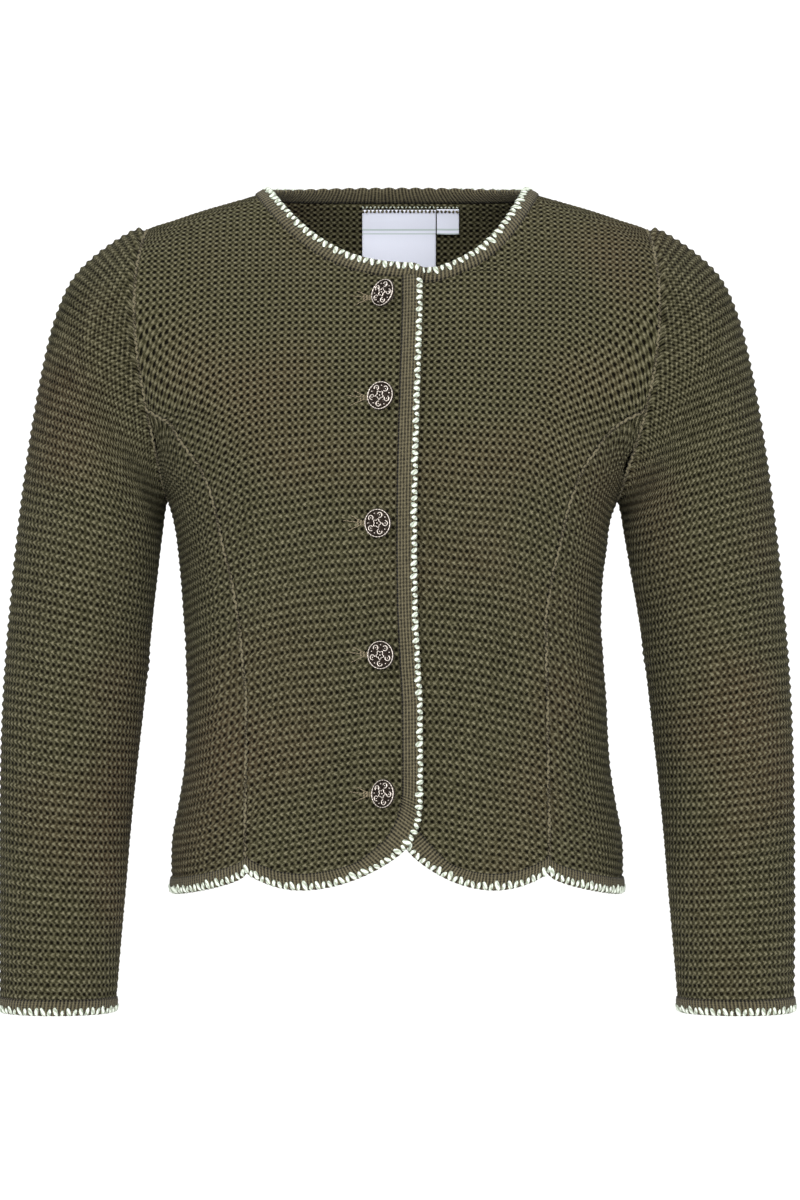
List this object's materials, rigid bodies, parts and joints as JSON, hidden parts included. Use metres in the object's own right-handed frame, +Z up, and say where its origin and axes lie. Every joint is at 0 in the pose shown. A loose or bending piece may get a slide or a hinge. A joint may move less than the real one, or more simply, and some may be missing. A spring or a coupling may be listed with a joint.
{
  "type": "trachten cardigan",
  "caption": "Child's garter-knit traditional cardigan in dark moss, with princess seams, a scalloped hem, cream overcast rib bands and silver floral buttons.",
  "frame": {"origin": "middle of the neck opening at the height of the shoulders, where the wearer holds the garment", "axes": "+Z up, -Y the front, +X the wearer's left"},
  "size_m": [0.4188, 0.1657, 0.4348],
  "materials": {
    "knit": "matt garter knit in dark moss cotton yarn",
    "rib": "matt narrow rib in the same yarn",
    "cream_yarn": "soft cream overcast yarn",
    "silver": "antique silver, dark in the hollows",
    "label": "white woven satin label"
  },
  "bodies": {
    "root": {"front_right": "knit", "front_left": "knit", "side_right": "knit", "side_left": "knit", "back": "knit", "sleeve_right": "knit", "sleeve_left": "knit", "neck_band": "rib", "edge_band_right": "rib", "edge_band_left": "rib", "edge_band_back": "rib", "cuff_band_right": "rib", "cuff_band_left": "rib", "button_1": "silver", "button_2": "silver", "button_3": "silver", "button_4": "silver", "button_5": "silver", "label_main": "label", "label_size": "label"}
  },
  "joints": []
}
